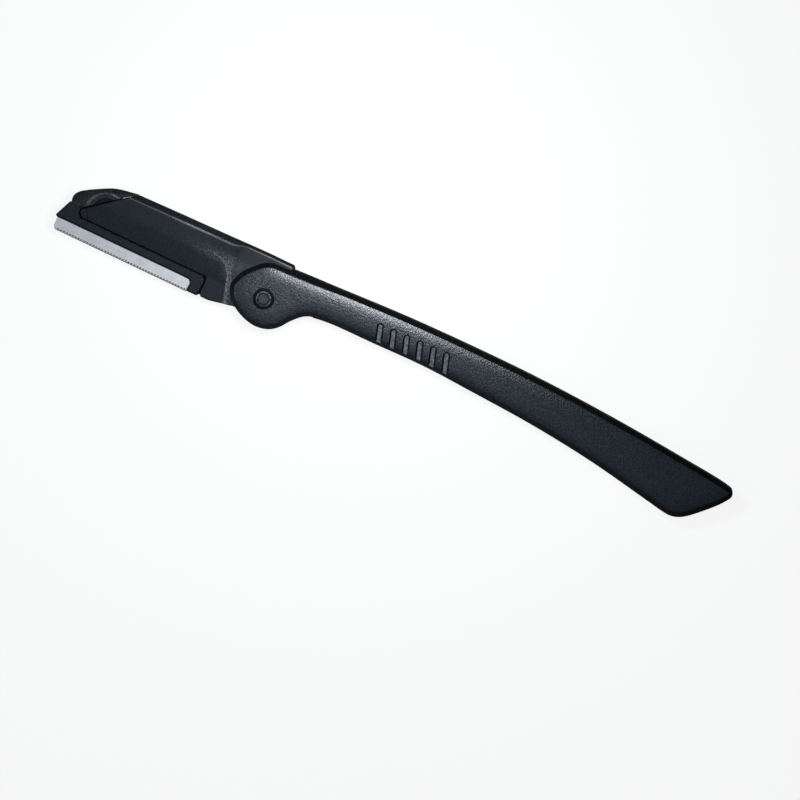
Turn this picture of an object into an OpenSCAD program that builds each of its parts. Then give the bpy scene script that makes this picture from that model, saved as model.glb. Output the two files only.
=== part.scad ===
// Folding eyebrow razor, open, lying on the flat back of its handle.
// The origin is on the pivot's axis, in the plane of the back face. +X runs to the tail,
// +Y to the spine and +Z out of the front face. Lengths are in millimetres.

/* [Handle] */
// Distance from the pivot to the tip of the tail
tail_len = 110.8; // [104:0.2:122]
// Depth of the grip from its lower edge to the spine
grip_h = 8.9; // [8.2:0.1:10]
// Distance from the pivot to the front of the cheeks
cheek_len = 8; // [7.6:0.1:8.8]
// Thickness over both shells
handle_t = 5.4; // [5.2:0.1:6.4]
// Wall of the front shell beside the slot
front_wall = 1.5; // [1.3:0.05:1.7]
// Wall of the front shell over the hub
cheek_wall = 0.8; // [0.6:0.05:1]
// Wall of the rear shell
rear_wall = 1.8; // [1.5:0.05:2]
// Wall that joins the shells along the spine and round the tail
rim_w = 1.6; // [1.2:0.1:1.8]
// Inset of the rounded edge along the grip's spine
spine_round = 0.95; // [0.5:0.05:1.1]
// Inset of the rounded edge along the grip's lower side
lower_round = 1.2; // [0.6:0.05:1.3]
// Inset of the rounded edge round the cheek
cheek_round = 1.25; // [0.8:0.05:1.4]
// Depth of the rounded edges
round_depth = 1.1; // [0.6:0.05:1.2]

/* [Grip grooves] */
// Number of slanted grooves
groove_count = 6; // [3:1:8]
// Distance from one groove to the next
groove_pitch = 3.15; // [2.6:0.05:3.6]
// Width of a groove
groove_w = 1.1; // [0.8:0.05:1.5]
// Depth of a groove
groove_depth = 0.3; // [0.15:0.05:0.45]
// Lean of the grooves from upright, in degrees
groove_lean = 18; // [0:1:28]
// Distance from the pivot to the first groove's upper end
groove_x = 25.6; // [22:0.1:30]
// Height of the first groove's upper end above the pivot
groove_top = 6.1; // [5:0.1:6.6]
// Climb of the upper ends from one groove to the next
groove_climb = 0.1; // [0:0.01:0.15]

/* [Pivot] */
// Radius of the pin
pin_r = 2.25; // [1.8:0.05:2.6]
// Width of the chamfer on the pin's front end
pin_chamfer = 0.65; // [0.3:0.05:0.8]
// Radial clearance of the pin in the arm's eye
eye_fit = 0.07; // [0.03:0.01:0.09]
// Radial clearance round the pin's front end
ring_gap = 0.12; // [0.05:0.01:0.2]
// Radius of the arm's eye
eye_r = 5.2; // [4.6:0.1:5.6]

/* [Blade arm] */
// Distance from the pivot to the tip of the blade end
arm_len = 49; // [46:0.1:51]
// Height of the arm's spine above the pivot
arm_spine = 9.3; // [9.1:0.05:9.6]
// Clearance between the arm and each wall of the slot
side_gap = 0.05; // [0.03:0.01:0.1]
// Distance from the pivot's axis to the stop end
stop_x = 3.4; // [3:0.1:3.8]
// Radius of the stop end's upper corner
stop_round = 0.8; // [0.4:0.1:1]
// Clearance between the stop end and the handle's spine
stop_gap = 0.1; // [0.05:0.05:0.3]
// Inset of the sloped spine in front of the hub
spine_slope = 1.25; // [0.8:0.05:1.4]
// Depth of the hollow in the front face
hollow_depth = 0.5; // [0.3:0.05:0.6]
// Width of the ramp that closes the hollow towards the hub
ramp_w = 1.5; // [1:0.1:2]
// Width of the slanted gap beside the tip cap
tip_gap = 0.35; // [0.2:0.05:0.5]
// Radius of the finger-nail nick in the tip cap
nick_r = 3.95; // [3:0.05:4.4]
// Depth of the nick
nick_depth = 0.6; // [0.3:0.05:0.8]

/* [Blade and carrier] */
// Distance from the pivot's axis down to the comb's teeth
blade_line = 6.05; // [5.9:0.05:6.2]
// Length of the steel that shows
steel_len = 32.3; // [30:0.1:32.6]
// Height of the steel that shows
steel_h = 2.7; // [2.4:0.05:2.8]
// Height of the carrier's strip
carrier_h = 1.9; // [1.8:0.05:2.1]
// Width of the seam between the carrier and the arm
seam = 0.25; // [0.15:0.05:0.35]
// Width of the carrier's end block
block_w = 2.7; // [2.2:0.1:3]
// Depth of the slot that holds the steel
slot_depth = 1.1; // [0.8:0.05:1.2]
// Thickness of the razor blade
blade_t = 0.16; // [0.1:0.02:0.2]
// Thickness of each wall of the comb guard
guard_wall = 0.1; // [0.06:0.01:0.16]
// Distance from one tooth of the comb to the next
tooth_pitch = 0.71; // [0.6:0.01:0.9]
// Width of a tooth
tooth_w = 0.41; // [0.3:0.01:0.5]
// Length of a tooth
tooth_len = 0.45; // [0.35:0.05:0.6]

/* [Hidden] */
$fn = 64;
black = [0.13, 0.14, 0.17];
satin_steel = [0.8, 0.81, 0.83];
// Overrun of every cut past the solid that it cuts
overrun = 0.5;
// How far a peg, a boss or a tongue is let into the wall that carries it
weld = 0.3;
// Clearance between pieces that are seated in each other
seat = 0.05;
// Steps in each span of a smooth outline, and in each rounded edge
span_steps = 4;
round_steps = 4;

// Levels above the back face
slot_z0 = rear_wall;
slot_z1 = handle_t - front_wall;
parting_z = (slot_z0 + slot_z1) / 2;
arm_z0 = slot_z0 + side_gap;
arm_z1 = slot_z1 - side_gap;
arm_t = arm_z1 - arm_z0;
hollow_z = arm_z1 - hollow_depth;
hub_z = handle_t - cheek_wall - side_gap;
steel_z = (arm_z0 + hollow_z) / 2;

// Outline of the handle. The cheek is in shares of cheek_len both ways, and the rest in
// shares of tail_len along and of grip_h up.
cheek_shares = [[-0.3, 0.975], [-0.665, 0.675], [-0.92, 0.325], [-1.005, -0.02], [-0.91, -0.3],
                [-0.67, -0.54], [-0.335, -0.72], [0.07, -0.81], [0.44, -0.745], [0.69, -0.58],
                [0.92, -0.28]];
lower_edge_shares = [[0.091, 0.032], [0.127, 0.129], [0.235, 0.161], [0.343, 0.182],
                     [0.451, 0.119], [0.587, 0.016], [0.722, -0.173], [0.856, -0.457]];
tail_shares = [[0.8945, -0.537], [0.91, -0.535], [0.929, -0.443], [0.965, -0.037],
               [0.99, 0.32], [0.9995, 0.534], [0.9955, 0.667], [0.979, 0.729]];
spine_shares = [[0.877, 0.857], [0.718, 1.012], [0.558, 1.104], [0.419, 1.118], [0.269, 1.087],
                [0.12, 0.999], [0.032, 0.945]];

// Inside of the handle
slot_spare = 1.8;
slot_end = arm_len + slot_spare;
tail_solid_share = 0.05;
peg_shares = [[0.58, 0.58], [0.74, 0.46], [0.89, 0.18]];
peg_r = 0.9;
boss_wall = 0.8;
socket_floor = 0.8;
pin_sink = 0.05;

// Outline of the arm, in shares of arm_len along and of arm_spine up. The heel and the foot
// of the ramp are in shares of cheek_len along.
arm_top_shares = [[0.08, 1.001], [0.249, 0.979], [0.497, 0.952], [0.69, 0.926]];
slant_shares = [[0.698, 0.9215], [0.765, 0.661], [0.891, 0.107]];
nose_shares = [[0.9045, 0.044], [0.9055, -0.034], [0.8875, 0]];
heel_shares = [[1.375, 0], [1.06, 0.056], [0.7, 0.139]];
// Foot of the ramp, along the hollow and round to the heel, and the ramp's width at each of
// its points, in shares of ramp_w along and up
ramp_foot_shares = [[6.6, 0.258], [3.75, 0.28], [2.5, 0.296], [1.94, 0.285], [1.55, 0.226],
                    [1.3, 0.086], [1.163, -0.086], [1.075, -0.323], [0.963, -0.753]];
ramp_reach_shares = [[0, 1.6], [0, 1.6], [0, 1.67], [0.4, 1.63], [0.8, 1.3], [1, 0.73],
                     [0.9, 0.27], [0.87, 0.17], [0.87, 0.07]];
// Where the slanting front face meets the flat along the spine, in shares of arm_spine
facet_top_share = 0.37;
// Rise of the upper face towards the hub, in shares of cheek_len
rise_shares = [2.4, 1.06];
// Sections of the ramp and of the rise: shares along, and shares up. The last point of each
// lies past the hub's face.
ramp_section_shares = [[0, 0], [0.35, 0.12], [0.7, 0.45], [1.12, 1.22]];
rise_section_shares = [[0, 0], [0.3, 0.1], [0.65, 0.5], [1.1, 1.2]];
// Ledge in front of the plate's nose, in shares of arm_len along and of arm_spine up
ledge_shares = [[0.855, -0.172], [0.888, 0.172]];
ledge_drop = 0.25;
heel_bevel = 0.35;
block_round = 1;
eye_start = -125;
eye_step = 10;
// Spine's section: shares of the arm's thickness up, and of the slope's inset. The first
// point and the last lie past the faces.
spine_section_shares = [[-0.22, 0.7], [0.22, 0], [0.6, 0], [0.8, 0.25], [0.93, 0.6], [1.07, 1.4]];
hub_slope_share = 0.38;
spine_band_shares = [0.84, 0.92];

// Tip cap, in shares of arm_len along and of arm_spine up
cap_shares = [[0.719, 0.913], [0.768, 0.871], [0.815, 0.805], [0.8795, 0.63], [0.9185, 0.509],
              [0.946, 0.406], [0.961, 0.306], [0.965, 0.207], [0.961, 0.108]];
cap_corner_share = 0.9015;
// Most that the cap's slope takes of the reach to the slanted gap, and to the cap's foot
cap_slope_share = 0.4;
cap_foot_share = 0.7;
tongue_span_shares = [0, 0.96];
tongue_reach = 1.2;
tongue_t = 0.7;
nick_reach = 1.5;

// Carrier, in shares of arm_len along and of arm_spine up
tip_block_shares = [[0.912, -0.059], [0.912, 0.049], [0.9035, 0.088], [0.968, 0.09],
                    [1, -0.312], [0.999, -0.34], [0.993, -0.36]];
tip_overhang = 0.5;
carrier_low = steel_h - blade_line;
carrier_top = carrier_low + carrier_h;
plate_low = carrier_top + seam;
steel_x0 = tip_overhang - arm_len;
steel_x1 = steel_x0 + steel_len;
block_x0 = steel_x1 + seat;
block_x1 = block_x0 + block_w;
block_rise = 0.1;
block_low = block_rise - blade_line;
steel_round = 0.9;
bevel_h = 0.8;
tab_inset = 1.4;
rail_t = 0.6;
rail_h = 0.6;
rail_lap = 0.5;
rail_nose = 0.9;
rail_rise = 0.15;
heel_rise = 0.3;
heel_y = blade_line - heel_rise;
notch_x = block_x1 + seam;
hub_room = norm([cheek_len + ramp_w, heel_y]) + seam;
guard_t = blade_t + 2 * (guard_wall + seat);

// Section of a shell's rounded edge: shares of its inset, and depths below the face. The
// last point lies past the face.
edge_section = concat(
    [[0, handle_t]],
    [for (s = [0 : round_steps - 1]) let (a = 90 * s / round_steps)
        [1 - cos(a), round_depth * (1 - sin(a))]],
    [let (a = 90 * (round_steps - 1) / round_steps) [1 + cos(a), round_depth * (sin(a) - 1)]]);
// Most of a bend's radius that a rounded edge takes
bend_share = 0.6;

// Linear blend from a to b, and a value kept between 0 and 1
function blend(a, b, u) = a + (b - a) * u;
function unit(u) = min(max(u, 0), 1);
// Point of a smooth curve between b and c, at u of the span, with a and d as its neighbours
function knot(a, b) = sqrt(norm(b - a));
function span_point(a, b, c, d, u) =
    let (t1 = knot(a, b), t2 = t1 + knot(b, c), t3 = t2 + knot(c, d), t = blend(t1, t2, u),
         ab = blend(a, b, t / t1), bc = blend(b, c, u), cd = blend(c, d, (t - t2) / (t3 - t2)))
    blend(blend(ab, bc, t / t2), blend(bc, cd, (t - t1) / (t3 - t1)), u);
// Smooth closed outline through the points, and smooth open line through them
function smooth(p) =
    [for (i = [0 : len(p) - 1], s = [0 : span_steps - 1])
        let (n = len(p))
        span_point(p[(i + n - 1) % n], p[i], p[(i + 1) % n], p[(i + 2) % n], s / span_steps)];
function smooth_line(p) =
    let (n = len(p), q = concat([2 * p[0] - p[1]], p, [2 * p[n - 1] - p[n - 2]]))
    concat([for (i = [1 : n - 1], s = [0 : span_steps - 1])
               span_point(q[i - 1], q[i], q[i + 1], q[i + 2], s / span_steps)], [p[n - 1]]);
// Points of an arc, and a list of shares made into points
function arc(centre, r, a0, a1) =
    [for (s = [0 : span_steps]) let (a = blend(a0, a1, s / span_steps))
        centre + r * [cos(a), sin(a)]];
function sized(shares, along, up) = [for (s = shares) [along * s.x, up * s.y]];
// Outward direction at a point of an outline, and the outline moved inward at each point
function outward(p, i) =
    let (n = len(p), d = p[(i + 1) % n] - p[(i + n - 1) % n]) [d.y, -d.x] / norm(d);
function inward(p, amounts) = [for (i = [0 : len(p) - 1]) p[i] - outward(p, i) * amounts[i]];
// Radius of an outline's bend at a point, or the limit where it runs straighter
function bend_radius(p, i, limit) =
    let (n = len(p), a = p[(i + n - 1) % n] - p[i], b = p[(i + 1) % n] - p[i],
         twice_area = abs(a.x * b.y - a.y * b.x), sides = norm(a) * norm(b) * norm(b - a))
    sides < 2 * limit * twice_area ? sides / (2 * twice_area) : limit;
function raised(p, z) = [for (q = p) [q.x, q.y, z]];

handle_outline = smooth(concat(sized(cheek_shares, cheek_len, cheek_len),
                               sized(lower_edge_shares, tail_len, grip_h),
                               sized(tail_shares, tail_len, grip_h),
                               sized(spine_shares, tail_len, grip_h)));
edge_insets = [for (i = [0 : len(handle_outline) - 1])
    let (side = unit(0.5 - outward(handle_outline, i).y),
         along = unit((handle_outline[i].x - cheek_len) / cheek_len))
    min(blend(cheek_round, blend(spine_round, lower_round, side), along),
        bend_share * bend_radius(handle_outline, i, tail_len))];
rim_insets = [for (q = handle_outline) rim_w];

arm_top = sized(arm_top_shares, -arm_len, arm_spine);
slant = sized(slant_shares, -arm_len, arm_spine);
nose = sized(nose_shares, -arm_len, arm_spine);
slant_out = let (d = slant[2] - slant[1]) [d.y, -d.x] / norm(d);
arm_outline = concat(
    [for (a = [eye_start : eye_step : acos(stop_x / eye_r)]) eye_r * [cos(a), sin(a)]],
    [[stop_x, sqrt(pow(eye_r, 2) - pow(stop_x, 2))]],
    arc([stop_x - stop_round, arm_spine - stop_round], stop_round, 0, 90),
    arm_top, slant, [nose[0], nose[1], [nose[2].x, plate_low]],
    arc([notch_x - block_round, plate_low - block_round], block_round, 90, 0),
    [[notch_x, heel_bevel - heel_y], [notch_x + heel_bevel, -heel_y]],
    [for (s = heel_shares) [-cheek_len * s.x, arm_spine * s.y - heel_y]]);
// Shift of each point of the arm's outline under the spine's full slope: down along the
// spine, and down along the slanted side at its upper corner
arm_slope = [for (q = arm_outline)
    let (d = slant[1] - slant[0], on_slant = q == slant[0] ? d.x / d.y : 0)
    unit((q.y / arm_spine - spine_band_shares[0]) / (spine_band_shares[1] - spine_band_shares[0])) *
    blend(hub_slope_share, 1, unit((-q.x - cheek_len) / (2 * ramp_w))) * spine_slope *
    [on_slant, 1]];

// Closed solid over rings of points, each ring above the last
module skin(rings) {
    n = len(rings[0]);
    m = len(rings);
    polyhedron(
        points = [for (r = rings, p = r) p],
        faces = concat(
            [[for (i = [0 : n - 1]) i], [for (i = [n - 1 : -1 : 0]) (m - 1) * n + i]],
            [for (k = [0 : m - 2], i = [0 : n - 1], half = [0, 1])
                let (a = k * n + i, b = k * n + (i + 1) % n)
                half == 0 ? [a, a + n, b + n] : [a, b + n, b]]));
}

// What lies between two levels of the solid that follows
module between(z0, z1) {
    intersection() {
        translate([-tail_len, -tail_len, z0])
            cube([3 * tail_len, 2 * tail_len, z1 - z0]);
        children();
    }
}

// Ring of the handle's outline at a point of the edge's section, at the level z
function edge_ring(q, z) = raised(inward(handle_outline, edge_insets * q.x), z);

// Plan of the space between the shells: the slot, the open front and the closed tail
module inside_plan() {
    polygon([for (q = inward(handle_outline, rim_insets))
        if (q.x > 0 && q.x < tail_len * (1 - tail_solid_share)) q]);
    translate([-2 * cheek_len, -2 * cheek_len])
        square([slot_end + 2 * cheek_len, 2 * cheek_len + grip_h / 2]);
    translate([-2 * cheek_len, -2 * cheek_len])
        square([stop_x + stop_gap + 2 * cheek_len, 2 * cheek_len + tail_len]);
}

// Slanted grooves, cut from the face at the level z towards its outside
module grooves(z) {
    for (k = [0 : groove_count - 1])
        translate([groove_x + k * groove_pitch, groove_top + k * groove_climb - groove_w / 2, z])
            rotate([0, 0, groove_lean])
                linear_extrude(groove_depth + overrun) {
                    circle(d = groove_w);
                    translate([-groove_w / 2, -grip_h])
                        square([groove_w, grip_h]);
                }
}

module at_pegs(z) {
    for (q = sized(peg_shares, tail_len, grip_h))
        translate([q.x, q.y, z])
            children();
}

module front_handle_shell() {
    peg_z = (slot_z0 + parting_z) / 2;
    color(black) {
        difference() {
            between(parting_z, handle_t)
                skin([for (q = edge_section) edge_ring(q, handle_t - q.y)]);
            translate([0, 0, parting_z - overrun])
                linear_extrude(slot_z1 - parting_z + overrun)
                    inside_plan();
            translate([0, 0, slot_z1 - overrun])
                linear_extrude(handle_t - cheek_wall - slot_z1 + overrun)
                    intersection() {
                        circle(hub_room);
                        inside_plan();
                    }
            translate([0, 0, slot_z1])
                cylinder(h = front_wall + overrun, r = pin_r + ring_gap);
            grooves(handle_t - groove_depth);
        }
        at_pegs(peg_z)
            cylinder(h = slot_z1 + weld - peg_z, r = peg_r);
    }
}

module rear_handle_shell() {
    last = len(edge_section) - 1;
    color(black)
        difference() {
            union() {
                difference() {
                    between(0, parting_z)
                        skin([for (i = [last : -1 : 0])
                            edge_ring(edge_section[i], edge_section[i].y)]);
                    translate([0, 0, slot_z0])
                        linear_extrude(parting_z - slot_z0 + overrun)
                            inside_plan();
                    translate([0, 0, -overrun])
                        grooves(0);
                }
                at_pegs(slot_z0 - weld)
                    cylinder(h = parting_z - slot_z0 + weld, r = peg_r + boss_wall);
            }
            at_pegs(slot_z0)
                cylinder(h = parting_z - slot_z0 + overrun, r = peg_r + seat);
            translate([0, 0, socket_floor])
                cylinder(h = slot_z0 - socket_floor + overrun, r = pin_r + seat);
        }
}

module pivot_pin() {
    top_z = handle_t - pin_sink;
    color(black) {
        translate([0, 0, socket_floor])
            cylinder(h = top_z - pin_chamfer - socket_floor, r = pin_r);
        translate([0, 0, top_z - pin_chamfer])
            cylinder(h = pin_chamfer, r1 = pin_r, r2 = pin_r - pin_chamfer);
    }
}

// Tongue behind the slanted gap from the level z up, grown all round by the clearance given
module cap_tongue(z, grow) {
    along = (slant[1] - slant[2]) / norm(slant[1] - slant[2]);
    foot = blend(slant[2], slant[1], tongue_span_shares[0]) - grow * along;
    head = blend(slant[2], slant[1], tongue_span_shares[1]) + grow * along;
    out = (tip_gap + weld) * slant_out;
    in = (tongue_reach + grow) * slant_out;
    translate([0, 0, z])
        linear_extrude(arm_z0 + tongue_t + grow - z)
            polygon([foot + out, foot - in, head - in, head + out]);
}

// Solid over an outline, with the spine's section where the shifts given aren't zero
module spine_skin(outline, shifts) {
    last = spine_section_shares[len(spine_section_shares) - 1];
    skin(concat(
        [for (s = spine_section_shares) raised(outline - s.y * shifts, arm_z0 + arm_t * s.x)],
        [raised(outline - last.y * shifts, hub_z + overrun)]));
}

// Body under the upper face, which rises towards the hub
module plate_body() {
    translate([0, 2 * arm_spine, 0])
        rotate([90, 0, 0])
            linear_extrude(4 * arm_spine)
                polygon(concat(
                    [[-2 * arm_len, arm_z0 - overrun], [2 * cheek_len, arm_z0 - overrun],
                     [2 * cheek_len, hub_z + overrun]],
                    [for (i = [len(rise_section_shares) - 1 : -1 : 0])
                        [-cheek_len * blend(rise_shares[0], rise_shares[1],
                                            rise_section_shares[i].x),
                         blend(arm_z1, hub_z, rise_section_shares[i].y)]],
                    [[-2 * arm_len, arm_z1]]));
}

// Body under the front face, which slants up from the seam to the flat along the spine
module facet_body() {
    translate([-2 * arm_len, 0, 0])
        rotate([90, 0, 90])
            linear_extrude(2 * arm_len)
                polygon([[plate_low, arm_z0 - overrun], [2 * arm_spine, arm_z0 - overrun],
                         [2 * arm_spine, arm_z1], [facet_top_share * arm_spine, arm_z1],
                         [plate_low, hollow_z]]);
}

// Body behind the ramp, above the hollow and round to the hub
module ramp_body() {
    foot = [for (s = ramp_foot_shares) [-cheek_len * s.x, arm_spine * s.y]];
    low = smooth_line(foot);
    high = smooth_line([for (i = [0 : len(foot) - 1]) foot[i] + ramp_w * ramp_reach_shares[i]]);
    far = [[2 * cheek_len, -2 * arm_spine], [2 * cheek_len, 2 * arm_spine],
           [foot[0].x, 2 * arm_spine]];
    skin(concat(
        [raised(concat(low, far), arm_z0 - overrun)],
        [for (s = ramp_section_shares)
            raised(concat(blend(low, high, s.x), far), blend(hollow_z, hub_z, s.y))]));
}

module blade_arm() {
    ledge = sized(ledge_shares, -arm_len, arm_spine);
    color(black)
        difference() {
            between(arm_z0, hub_z)
                intersection() {
                    spine_skin(arm_outline, arm_slope);
                    plate_body();
                    union() {
                        translate([-2 * arm_len, -2 * arm_spine, arm_z0 - overrun])
                            cube([3 * arm_len, 4 * arm_spine, hollow_z - arm_z0 + overrun]);
                        facet_body();
                        ramp_body();
                    }
                }
            translate([0, 0, arm_z0 - overrun])
                cylinder(h = handle_t, r = pin_r + eye_fit);
            cap_tongue(arm_z0 - overrun, seat);
            rail(seat);
            translate([0, 0, hollow_z - ledge_drop])
                linear_extrude(ledge_drop + overrun)
                    polygon([ledge[0], ledge[1], [-arm_len, ledge[1].y],
                             [-arm_len, ledge[0].y]]);
        }
}

// Rail that laps behind the seam, from the nose to the end block's foot, grown all round by
// the clearance given
module rail(grow) {
    x0 = -arm_len * tip_block_shares[0].x - weld;
    x1 = notch_x + rail_lap + grow;
    foot = carrier_top - weld;
    top = plate_low + rail_h + grow;
    head = nose[0].y + rail_rise + grow;
    brow = cap_shares[len(cap_shares) - 1].y * arm_spine - seat + grow;
    bottom = block_low + rail_lap - grow;
    translate([0, 0, steel_z - rail_t / 2 - grow])
        linear_extrude(rail_t + 2 * grow)
            polygon([[x0, foot], [block_x1 - weld, foot], [block_x1 - weld, bottom],
                     [x1, bottom], [x1, top], [nose[2].x + rail_nose + grow, top],
                     [nose[0].x + rail_nose + grow, head],
                     [nose[0].x + rail_lap + grow, brow], [x0, brow]]);
}

module blade_carrier() {
    tip = sized(tip_block_shares, -arm_len, arm_spine);
    outline = concat(
        arc([block_x0 - steel_round, carrier_low - steel_round], steel_round, 90, 0),
        [[block_x0, block_low], [block_x1 - heel_bevel, block_low],
         [block_x1, block_low + heel_bevel]],
        arc([block_x1 - block_round, carrier_top - block_round], block_round, 0, 90),
        [[nose[2].x - seam, carrier_top]], tip,
        [[steel_x0, carrier_low]]);
    color(black) {
        difference() {
            translate([0, 0, arm_z0])
                linear_extrude(hollow_z - arm_z0)
                    polygon(outline);
            translate([steel_x0 + tab_inset - seat, carrier_low - overrun,
                       steel_z - guard_t / 2 - seat])
                cube([steel_len - 2 * (tab_inset - seat), slot_depth + overrun,
                      guard_t + 2 * seat]);
        }
        rail(0);
    }
}

module tip_cap() {
    outer = sized(cap_shares, -arm_len, arm_spine);
    side = [for (q = [slant[2], slant[1], slant[0]]) q + tip_gap * slant_out];
    outline = concat([[-cap_corner_share * arm_len, outer[len(outer) - 1].y]], side, outer);
    // Slope at each point, limited near the slanted gap and near the foot
    slopes = [for (i = [0 : len(outline) - 1])
        i <= len(side) || i == len(outline) - 1 ? 0
        : max(0, min(spine_slope, cap_slope_share * ((outline[i] - side[0]) * slant_out),
                     cap_foot_share * (outline[i].y - outline[0].y) / slant_out.y))];
    nick_at = (slant[1] + slant[2]) / 2 + (tip_gap + nick_reach - nick_r) * slant_out;
    color(black)
        difference() {
            union() {
                between(arm_z0, arm_z1)
                    spine_skin(outline, [for (d = slopes) d * slant_out]);
                cap_tongue(arm_z0 + seat, 0);
            }
            translate([nick_at.x, nick_at.y, arm_z1 - nick_depth])
                cylinder(h = nick_depth + overrun, r = nick_r);
        }
}

// Outline of a steel strip from x0 and down to y, with its tab in the carrier's slot
function steel_strip(x0, y) =
    let (tab_x0 = steel_x0 + tab_inset, tab_x1 = steel_x1 - tab_inset, step_y = carrier_low - seat)
    concat([[steel_x1, y]],
           arc([block_x0 - steel_round, carrier_low - steel_round], steel_round - seat, 0, 90),
           [[tab_x1, step_y], [tab_x1, step_y + slot_depth], [tab_x0, step_y + slot_depth],
            [tab_x0, step_y], [x0, step_y]],
           arc([x0 + steel_round, y + steel_round], steel_round, 180, 270));

module razor_blade() {
    edge_y = guard_wall + seat - blade_line;
    color(satin_steel)
        intersection() {
            translate([0, 0, steel_z - blade_t / 2])
                linear_extrude(blade_t)
                    polygon(steel_strip(steel_x0 + guard_wall, edge_y));
            translate([steel_x0, 0, steel_z])
                rotate([90, 0, 90])
                    linear_extrude(steel_len)
                        polygon([[edge_y, 0], [edge_y + bevel_h, -blade_t], [0, -blade_t],
                                 [0, blade_t], [edge_y + bevel_h, blade_t]]);
        }
}

module comb_guard() {
    gap_w = tooth_pitch - tooth_w;
    count = floor((steel_len - steel_round) / tooth_pitch);
    color(satin_steel)
        translate([0, 0, steel_z - guard_t / 2])
            difference() {
                linear_extrude(guard_t)
                    polygon(steel_strip(steel_x0, -blade_line));
                translate([steel_x0 - overrun, guard_wall - blade_line, guard_wall])
                    cube([steel_len + 2 * overrun, blade_line, guard_t - 2 * guard_wall]);
                for (k = [0 : count - 1])
                    translate([steel_x1 - (k + 1) * tooth_pitch, -blade_line - overrun, -overrun])
                        cube([gap_w, tooth_len + overrun, guard_t + 2 * overrun]);
            }
}

front_handle_shell();
rear_handle_shell();
pivot_pin();
blade_arm();
blade_carrier();
tip_cap();
razor_blade();
comb_guard();
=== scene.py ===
"""Looks of the folding eyebrow razor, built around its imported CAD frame.

The origin is on the pivot's axis, in the plane of the handle's flat back. +X runs to the
tail, +Y to the spine and +Z out of the front face. The forms are worked out in millimetres
and become metres when a piece is done.
"""
import math

import bmesh
import bpy
import numpy as np
from mathutils import Matrix, Vector


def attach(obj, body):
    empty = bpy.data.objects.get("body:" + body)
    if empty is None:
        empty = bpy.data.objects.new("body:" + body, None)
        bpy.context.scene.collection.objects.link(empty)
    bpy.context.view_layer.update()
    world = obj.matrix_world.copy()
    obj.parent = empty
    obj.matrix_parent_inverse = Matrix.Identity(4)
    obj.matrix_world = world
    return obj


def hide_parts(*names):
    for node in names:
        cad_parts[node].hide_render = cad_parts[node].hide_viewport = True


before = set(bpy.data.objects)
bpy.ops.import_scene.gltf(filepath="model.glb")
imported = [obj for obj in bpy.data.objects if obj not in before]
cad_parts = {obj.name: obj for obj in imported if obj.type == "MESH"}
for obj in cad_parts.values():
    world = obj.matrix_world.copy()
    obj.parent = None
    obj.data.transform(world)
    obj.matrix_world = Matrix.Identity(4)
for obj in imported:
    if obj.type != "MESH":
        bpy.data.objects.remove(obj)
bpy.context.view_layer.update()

MM = 0.001


# Driving dimensions, in mm

# Handle
TAIL_LEN = 110.8
GRIP_H = 8.9
CHEEK_LEN = 8.0
HANDLE_T = 5.4
FRONT_WALL = 1.5
CHEEK_WALL = 0.8
REAR_WALL = 1.8
RIM_W = 1.6
SPINE_ROUND = 0.95
LOWER_ROUND = 1.2
CHEEK_ROUND = 1.25
ROUND_DEPTH = 1.1

# Grip grooves, with the lean in radians
GROOVE_COUNT = 6
GROOVE_PITCH = 3.15
GROOVE_W = 1.1
GROOVE_DEPTH = 0.3
GROOVE_LEAN = math.radians(18)
GROOVE_X = 25.6
GROOVE_TOP = 6.1
GROOVE_CLIMB = 0.1

# Pin: the inner radius of its ring, the widths of the ring and of the groove inside it, and
# how far its end lies below the handle's face. Then the clearances round it in the arm's eye
# and in the front cheek, and the eye's outer radius
PIN_R = 2.25
PIN_RING = 1.38
PIN_RING_W = 0.3
PIN_GROOVE_W = 0.24
PIN_DROP = 0.07
EYE_FIT = 0.07
RING_GAP = 0.12
EYE_R = 5.2

# Arm and tip cap. The nick reaches NICK_REACH past the slanted gap
ARM_LEN = 49
ARM_SPINE = 9.3
SIDE_GAP = 0.05
STOP_X = 3.4
STOP_ROUND = 0.8
STOP_GAP = 0.1
SPINE_SLOPE = 1.25
HOLLOW_DEPTH = 0.5
RAMP_W = 1.5
TIP_GAP = 0.35
NICK_R = 3.95
NICK_DEPTH = 0.6
NICK_REACH = 1.5

# Blade, carrier and comb guard, whose fold lies FOLD_DROP below the blade's edge
BLADE_LINE = 6.05
STEEL_LEN = 32.3
STEEL_H = 2.7
CARRIER_H = 1.9
SEAM = 0.33
BLOCK_W = 2.7
SLOT_DEPTH = 1.1
BLADE_T = 0.16
GUARD_WALL = 0.1
TOOTH_PITCH = 0.71
TOOTH_W = 0.3
TOOTH_LEN = 0.5
FOLD_DROP = 0.1
FOLD_WEB = 0.05

# Clearance of a seated joint, overlap of joined forms, and how far a cut runs past a face
SEAT = 0.05
WELD = 0.3
OVERRUN = 0.5

# Levels above the back face
SLOT_Z0 = REAR_WALL
SLOT_Z1 = HANDLE_T - FRONT_WALL
PARTING_Z = (SLOT_Z0 + SLOT_Z1) / 2
ARM_Z0 = SLOT_Z0 + SIDE_GAP
ARM_Z1 = SLOT_Z1 - SIDE_GAP
ARM_T = ARM_Z1 - ARM_Z0
HOLLOW_Z = ARM_Z1 - HOLLOW_DEPTH
HUB_Z = HANDLE_T - CHEEK_WALL - SIDE_GAP
STEEL_Z = (ARM_Z0 + HOLLOW_Z) / 2

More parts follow.
